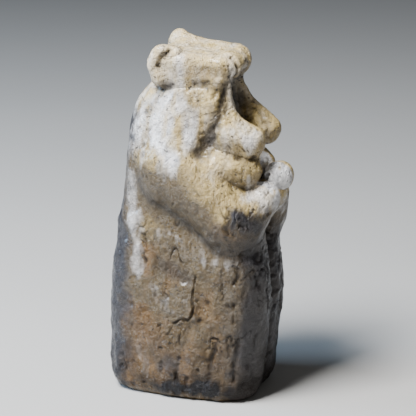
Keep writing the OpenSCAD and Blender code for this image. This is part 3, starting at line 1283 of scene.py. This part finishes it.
@dataclass
class Head(SubAssembly):
    """The flat-topped head with its snout and ears.

    Attributes:
        spine: The line inside the skull that its rays leave from.
        half_width: The skull's half width at the front and at the back, in millimetres.
        underside: Height of its underside over the box's, at the front and at the back, in millimetres.
        top: Height of its top there, in millimetres.
        ends: Where it starts and stops behind the front of the box, in millimetres.
        corner: Radius of its edges in millimetres.
        roll: How much its top rises towards the figure's left.
        skull_fillet: How far the skull is smeared onto the neck, in millimetres.
        snout: The blunt snout across the front.
        snout_fillet: How far the snout is smeared onto the skull, in millimetres.
        ears: The rolled ears up the back corners of the head. The left one leans back to a point.
    """

    spine: Roll = Roll(((0, 22.6, 9.5), (0, 4.6, 10.5)), (6.0, 6.0))
    half_width: tuple[float, float] = (11.2, 12.8)
    underside: tuple[float, float] = (5.4, 3.0)
    top: tuple[float, float] = (15.2, 16.4)
    ends: tuple[float, float] = (0.2, 26.0)
    corner: float = 3.2
    roll: float = 0.075
    skull_fillet: float = 2.0
    snout: Roll = Roll(((-5.1, 4.5, 4.9), (0, 4.1, 4.8), (5.1, 4.5, 4.8)), (3.8, 3.9, 3.8), (1.0, 1.02, 1.18))
    snout_fillet: float = 2.6
    ears: Pair = Pair(
        "ear", CREAM_SLOT, (1.4, 2.2),
        Roll(((11.6, 6.0, 4.0), (12.0, 7.4, 8.5), (11.4, 5.6, 13.2), (9.6, 0.8, 12.8)), (2.4, 2.1, 2.0, 2.0)),
        Roll(((11.4, 2.8, 3.6), (11.3, 5.0, 9.5), (10.8, 3.4, 14.4), (9.6, -1.6, 12.6)),
             (2.4, 2.5, 2.5, 2.2)))

    def skull(self) -> Block:
        """The skull's block, wider and deeper at the back, its top a little higher on the left."""
        low = np.array(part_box("head")[0])
        return Block(
            "head", CREAM_SLOT, self.skull_fillet * MM, self.spine.knots("head", Side.LEFT),
            tuple(radius * MM for radius in self.spine.radii), pieces=2,
            half_width=tuple(half * MM for half in self.half_width),
            underside=tuple(low[2] + height * MM for height in self.underside),
            top=tuple(low[2] + height * MM for height in self.top), corner=self.corner * MM,
            ends=tuple(low[1] + end * MM for end in self.ends), roll=self.roll)

    def lumps(self) -> list[Lump]:
        """The skull, the snout and the ears."""
        snout = self.snout.coil("snout", Side.LEFT, CREAM_SLOT, self.snout_fillet)
        return [self.skull(), snout, *self.ears.lumps()]


@dataclass
class Bosom(SubAssembly):
    """The breasts and the full lobes under them.

    Attributes:
        belly_folds: The lobes.
        breasts: The breasts, each on a strap of clay from under the head and full at its lower end.
    """

    belly_folds: Pair = Pair(
        "belly_fold", CREAM_SLOT, (2.6, 2.6),
        Roll(((10.4, 13.0, 8.6), (9.0, 9.0, 7.4), (8.0, 5.7, 6.6)), (5.4, 5.4, 4.8)),
        Roll(((10.0, 11.6, 8.0), (8.6, 8.0, 7.0), (7.0, 5.6, 5.6)), (4.6, 4.8, 4.8)))
    breasts: Pair = Pair(
        "breast", CREAM_SLOT, (4.5, 3.0),
        Roll(((8.0, 16.5, 24.3), (8.6, 16.2, 16.6), (8.6, 12.6, 10.4), (7.8, 5.8, 7.6)),
             (3.4, 5.0, 6.2, 5.4)),
        Roll(((7.0, 16.0, 22.4), (7.2, 12.2, 16.1), (7.2, 9.0, 12.2), (7.2, 5.4, 7.0)), (2.6, 2.9, 3.8, 5.1)))

    def lumps(self) -> list[Lump]:
        """The lobes, then the breasts over them."""
        return [*self.belly_folds.lumps(), *self.breasts.lumps()]


@dataclass
class Hands(SubAssembly):
    """The closed hands. The left one lies over the right one and ends in a ball.

    Attributes:
        hands: The two hands.
    """

    hands: Pair = Pair(
        "hand", CREAM_SLOT, (2.6, 1.2),
        Roll(((6.0, 8.8, 6.2), (3.0, 8.2, 6.8), (0.0, 8.0, 7.0)), (4.4, 4.8, 4.6)),
        Roll(((5.0, 8.9, 0.5), (3.0, 7.2, 3.2), (-0.6, 4.9, 5.6)), (3.6, 4.0, 4.6)))

    def lumps(self) -> list[Lump]:
        """The right hand and the left one."""
        return self.hands.lumps()


def drawn(kind: type[Drawn], node: str, facing: Facing, *rows: tuple) -> tuple[Drawn, ...]:
    """Several marks or stains on one face of one node.

    Args:
        kind: Mark or Stain.
        node: The CAD node.
        facing: The way that the face looks.
        rows: The kind's own values after those two, in its order.

    Returns:
        The marks or stains.
    """
    return tuple(kind(node, facing, *row) for row in rows)


SKIRT_MARKS = (
    *drawn(
        Mark, "body_core", Facing.RIGHT,
        (((21.7, 44.0), (21.9, 37.6), (22.3, 30.7), (28.5, 27.7)), 0.4, 1.0, 0.5, 0.45, 0.2),
        (((8.3, 36.1), (8.3, 29.8)), 0.5, 1.0, 0.3),
        (((8.1, 50.9), (7.3, 46.9), (7.7, 42.9)), 0.6, 0.9, 0.25, 0.7),
        (((12.3, 42.9), (12.2, 36.7)), 0.45, 0.6, 0.15, 0.5),
        (((13.7, 22.6), (15.7, 15.8), (17.1, 7.5)), 0.8, 1.0, 0.2, 0.3, 0.3),
        (((6.9, 23.5), (8.2, 13.7), (8.6, 8.6)), 0.7, 1.0, 0.2, 0.3, 0.3),
        (((27.9, 12.8), (28.2, 6.6)), 0.7, 0.9, 0.2, 0.3, 0.3),
        (((24.4, 8.6), (24.9, 4.9)), 0.8, 0.8, 0.2, 0.3, 0.3),
        (((39.9, 55.0), (39.2, 53.0)), 0.45, 0.7, 0.2),
        (((40.0, 50.2), (39.3, 47.5)), 0.5, 0.9, 0.2),
        (((34.2, 58.1), (30.7, 51.5)), 0.5, 0.4, 0.25, 0.6, 0.3),
        (((34.3, 48.0), (24.2, 43.3)), 3.0, 0.7, 0.0, 1.0, 0.15),
        (((26.2, 38.5), (25.4, 33.0)), 3.2, -0.7, 0.0, 0.8, 0.0),
        (((36.9, 39.7), (34.5, 36.0), (31.0, 33.5)), 0.8, 0.8, 0.35, 1.1, 0.3),
        (((33.5, 40.2), (31.5, 37.0)), 0.6, 0.6, 0.3, 0.9, 0.3),
        (((41.6, 33.2), (38.5, 25.0)), 0.9, -0.35, 0.0, 1.0, 0.0),
        (((21.7, 18.3), (18.8, 17.2)), 0.8, -0.5, 0.0, 0.4, 0.0),
        (((8.2, 13.0), (5.1, 12.3)), 1.2, -0.6, 0.0, 0.4, 0.0),
        (((45.0, 61.5), (33.0, 57.0), (17.4, 50.6), (4.0, 48.0)), 3.4, -0.8, 0.0, 0.8, 0.0),
    ),
)
HEAD_MARKS = (
    *drawn(
        Mark, "head", Facing.RIGHT,
        (((19.5, 16.3), (21.9, 13.7), (22.9, 11.0)), 0.6, 1.3, 0.2, 0.2, 0.7),
        (((16.0, 12.6),), 4.0, -1.1, 0.0, 0.3, 0.0),
        (((9.6, 10.8), (3.6, 9.4)), 3.4, 0.35, 0.0, 0.5, 0.0),
        # Painted shade: the two creases along the underside of the head, darkened with soot as the shade
        # under the head.
        (((26.0, 3.2), (22.2, 3.4), (18.4, 4.6)), 1.0, 1.9, 0.0, 0.3, 0.9),
        (((10.6, 5.4), (6.6, 6.6)), 1.2, 1.1, 0.0, 0.5, 0.5),
    ),
    Mark("head", Facing.TOP, ((4.6, 7.6),), 0.45, 1.3, 0.0, 0.0, 0.9),
    *drawn(
        Mark, "snout", Facing.FRONT,
        (((1.7, 8.3), (2.1, 4.2), (2.4, 0.6)), 0.6, 2.0, 0.5, 0.15, 0.8),
        (((11.4, 6.4), (11.2, 3.8), (10.8, 0.8)), 0.6, 2.0, 0.5, 0.15, 0.8),
    ),
)
BODY_MARKS = (
    *drawn(
        Mark, "body_core", Facing.RIGHT,
        # Painted shade: the broad valley between the neck roll and the breast, whose hollow is darkened as
        # shade.
        (((13.4, 105.3), (14.4, 99.3), (17.2, 94.2), (20.2, 86.0)), 2.8, 1.7, 0.0, 1.0, 0.3),
        (((14.2, 99.0), (17.0, 92.0), (18.6, 86.0)), 0.6, 0.9, 0.3, 1.2, 0.9),
    ),
    *drawn(
        Mark, "body_core", Facing.FRONT,
        (((19.3, 108.0), (19.3, 98.0), (19.3, 86.0)), 3.4, 2.4, 0.0, 0.4, 0.5),
        (((19.3, 60.0), (19.8, 30.0), (19.3, 5.0)), 2.4, 1.4, 0.3, 0.8, 0.5),
        (((13.0, 50.0), (11.6, 41.0), (12.2, 33.0)), 0.5, 0.9, 0.3, 0.7, 0.6),
        (((26.4, 40.0), (27.6, 27.0), (26.8, 18.0)), 0.6, 1.0, 0.3, 0.7, 0.6),
        (((14.0, 14.0), (24.0, 12.4)), 0.6, 0.7, 0.3, 0.7, 0.4),
    ),
    *drawn(
        Mark, "body_core", Facing.BACK,
        (((15.0, 78.0), (17.0, 64.0), (15.6, 55.0)), 0.6, 1.0, 0.3, 0.8, 0.5),
        (((24.0, 46.0), (22.6, 30.0)), 0.6, 1.0, 0.3, 0.8, 0.5),
        (((12.0, 24.0), (14.0, 9.0)), 0.8, 0.9, 0.3, 0.6, 0.5),
        (((19.0, 95.0), (19.6, 88.0)), 1.8, 0.7, 0.0, 0.6, 0.2),
    ),
    Mark("right_breast", Facing.RIGHT, ((8.2, 2.6), (4.4, 2.2), (1.0, 3.4)), 0.8, 1.2, 0.2, 0.3, 0.8),
    Mark("right_forearm", Facing.RIGHT, ((13.6, 14.1), (14.4, 10.0), (13.3, 6.4)),
         0.7, 0.9, 0.35, 0.9, 0.4),
)


def moved(marks: tuple[Mark, ...], facing: Facing, back: float, up: float) -> list[Mark]:
    """The marks that face right, put on another side and moved back and up by some millimetres."""
    return [replace(mark, facing=facing, points=tuple((y + back, z + up) for y, z in mark.points))
            for mark in marks if mark.facing is Facing.RIGHT]


STAINS_AND_HIGHLIGHTS = (
    *drawn(
        Stain, "body_core", Facing.RIGHT,
        # Painted highlight: a pale band along the top of the skirt just under the arm, where the skirt swells
        # up into the light.
        (((45.0, 60.5), (33.0, 56.0), (17.4, 50.0), (5.0, 47.5)), 4.0, Clay.WHITE, 0.08),
        # Painted reflection: a white strip of reflected light down the back corner of the skirt.
        (((46.5, 76.0), (44.5, 60.0), (42.0, 44.0)), 2.6, Clay.WHITE, 0.40),
        (((38.0, 18.0), (20.0, 8.0), (4.0, 20.0)), 9.0, Clay.GREY, 0.22),
        # Painted highlight: white glints on the pinched patch of the skirt.
        (((37.0, 40.0), (31.0, 32.0)), 3.0, Clay.WHITE, 0.15),
        (((38.5, 52.0), (38.0, 44.0)), 3.0, Clay.RUST, 0.7),
        (((41.0, 31.0), (40.0, 22.0)), 3.6, Clay.RUST, 0.9),
        (((47.0, 14.0), (45.0, 5.0)), 4.5, Clay.RUST, 0.8),
        (((25.3, 15.6), (34.3, 11.2)), 3.4, Clay.GREY, 0.45),
        # Painted highlight: a white strip low on the skirt near the back corner.
        (((41.0, 20.0), (39.8, 8.0)), 3.0, Clay.WHITE, 0.14),
        (((30.0, 3.0), (12.0, 3.0), (0.0, 5.0)), 4.2, Clay.SOOT_AND_SHADE, 0.35),
    ),
    *drawn(
        Stain, "right_forearm", Facing.RIGHT,
        (((11.5, 12.6), (4.5, 8.0)), 4.4, Clay.GREY, 0.9),
        (((17.0, 8.0), (9.0, 4.0)), 5.0, Clay.RUST, 0.4),
        (((9.0, 19.0), (3.0, 16.5)), 4.5, Clay.WHITE, 0.6),
    ),
    Stain("right_hand", Facing.RIGHT, ((6.0, 6.0), (1.0, 4.0)), 6.0, Clay.WHITE, 0.8),
    # Painted light: white on the top of the right breast, which is lit from above and catches highlights.
    Stain("right_breast", Facing.RIGHT, ((9.0, 12.0), (4.0, 9.5)), 4.5, Clay.WHITE, 0.45),
    # Painted shade: rust-brown in the shallow hollow on the side of the head behind the snout.
    Stain("head", Facing.RIGHT, ((12.0, 9.5), (3.0, 7.5)), 3.6, Clay.RUST, 0.5),
    *drawn(
        Stain, "body_core", Facing.LEFT,
        (((40.0, 60.0), (28.0, 50.0)), 5.0, Clay.RUST, 0.6),
        (((44.0, 30.0), (40.0, 12.0)), 5.0, Clay.RUST, 0.7),
        (((16.0, 30.0), (20.0, 16.0)), 5.0, Clay.GREY, 0.5),
    ),
    Stain("left_forearm", Facing.LEFT, ((9.0, 19.0), (3.0, 16.5)), 4.5, Clay.WHITE, 0.6),
    Stain("body_core", Facing.FRONT, ((16.0, 56.0), (19.0, 40.0)), 4.0, Clay.RUST, 0.9),
    Stain("body_core", Facing.RIGHT, ((47.0, 28.0), (44.0, 12.0)), 5.0, Clay.RUST, 0.6),
    Stain("left_hand", Facing.RIGHT, ((7.0, 6.0), (2.0, 4.0)), 9.0, Clay.WHITE, 1.6),
)


@dataclass(frozen=True)
class Lamp:
    """One soft light.

    Attributes:
        name: Its name.
        place: Where it hangs, in metres from the figure's middle.
        size: Side of its square, in metres.
        power: Its power in watts.
        colour: Its colour.
    """

    name: str
    place: tuple[float, float, float]
    size: float
    power: float
    colour: tuple[float, float, float]

    def hang(self, target: np.ndarray) -> None:
        """Hangs the light and turns it to face the target."""
        light = bpy.data.lights.new(self.name, "AREA")
        light.size, light.energy, light.color = self.size, self.power, self.colour
        holder = bpy.data.objects.new(self.name, light)
        holder.location = target + np.array(self.place)
        holder.rotation_euler = aimed(target - np.array(holder.location))
        bpy.context.scene.collection.objects.link(holder)


def aimed(direction: np.ndarray) -> Euler:
    """The rotation that points an object's -Z along a direction, with its Y upwards."""
    return Vector(direction).to_track_quat("-Z", "Y").to_euler()


@dataclass
class Studio:
    """The pale floor, the soft lights and the camera.

    Attributes:
        azimuth: Degrees that the camera stands round from the figure's front, towards its left.
        climb: Degrees that the camera looks down by.
        distance: Metres from the camera to its target.
        lens: Focal length in millimetres.
        aim: The camera's target, as shares of the figure's box.
    """

    azimuth: float = -70.0
    climb: float = 16.0
    distance: float = 0.56
    lens: float = 143.5
    aim: tuple[float, float, float] = (0.536, 0.489, 0.513)
    lamps: tuple[Lamp, ...] = (
        Lamp("window", (-0.23, 0.13, 0.44), 0.20, 10.2, (0.97, 0.98, 1.0)),
        Lamp("back_window", (-0.24, 0.80, 0.30), 0.3, 9.0, (0.52, 0.73, 1.0)),
        Lamp("bounce", (-0.8, -0.3, 0.25), 0.8, 0.8, (1.0, 0.95, 0.88)),
    )

    def build(self) -> None:
        """Builds the floor, the lights, the sky and the camera."""
        low, high = (np.array(corner) for corner in CAD_BOX)
        target = low + (high - low) * np.array(self.aim)
        self.lay_floor()
        for lamp in self.lamps:
            lamp.hang(target)
        world = bpy.data.worlds.new("soft_sky")
        world.use_nodes = True
        world.node_tree.nodes["Background"].inputs["Color"].default_value = (0.86, 0.89, 0.94, 1.0)
        world.node_tree.nodes["Background"].inputs["Strength"].default_value = 0.08
        bpy.context.scene.world = world
        turn, climb = math.radians(self.azimuth), math.radians(self.climb)
        level = np.array([math.sin(turn), -math.cos(turn), 0.0]) * math.cos(climb)
        away = level + np.array([0.0, 0.0, math.sin(climb)])
        camera = bpy.data.cameras.new("camera")
        camera.lens, camera.sensor_width, camera.clip_start = self.lens, 36.0, 0.01
        holder = bpy.data.objects.new("camera", camera)
        holder.location = target + away * self.distance
        holder.rotation_euler = aimed(-away)
        bpy.context.scene.collection.objects.link(holder)
        bpy.context.scene.camera = holder

    def lay_floor(self) -> None:
        """Lays a wide pale floor just under the figure."""
        half = 8.0
        mesh = bpy.data.meshes.new("floor")
        corners = [(-half, -half, 0), (half, -half, 0), (half, half, 0), (-half, half, 0)]
        mesh.from_pydata(corners, [], [(0, 1, 2, 3)])
        floor = bpy.data.objects.new("floor", mesh)
        bpy.context.scene.collection.objects.link(floor)
        desk = NodeDesk("pale_floor")
        shader = desk.add("ShaderNodeBsdfPrincipled")
        mottled = desk.blend(desk.cloud(0.3), (0.43, 0.42, 0.40, 1), (0.47, 0.46, 0.44, 1))
        desk.feed(shader.inputs["Base Color"], mottled)
        shader.inputs["Roughness"].default_value = 0.8
        desk.feed(desk.add("ShaderNodeOutputMaterial").inputs["Surface"], shader.outputs[0])
        floor.data.materials.append(desk.material)


def main() -> None:
    """Builds the figure, one sub-assembly after the other, then the studio round it."""
    logging.basicConfig(level=logging.INFO, format="%(name)s: %(message)s")
    groups: list[SubAssembly] = [Body(), Arms(), Head(), Bosom(), Hands()]
    core, *coils = [lump for group in groups for lump in group.lumps()]
    marks = [*SKIRT_MARKS, *HEAD_MARKS, *BODY_MARKS]
    marks += [*moved(SKIRT_MARKS[1::2], Facing.LEFT, 5.0, -3.0), *moved(HEAD_MARKS, Facing.LEFT, 0.8, -0.3)]
    figure = Figure(core, coils, marks, list(STAINS_AND_HIGHLIGHTS))
    finish = SmokedClay().material()
    for group in groups:
        group.build(figure, finish)
    Studio().build()


if __name__ == "__main__":
    main()
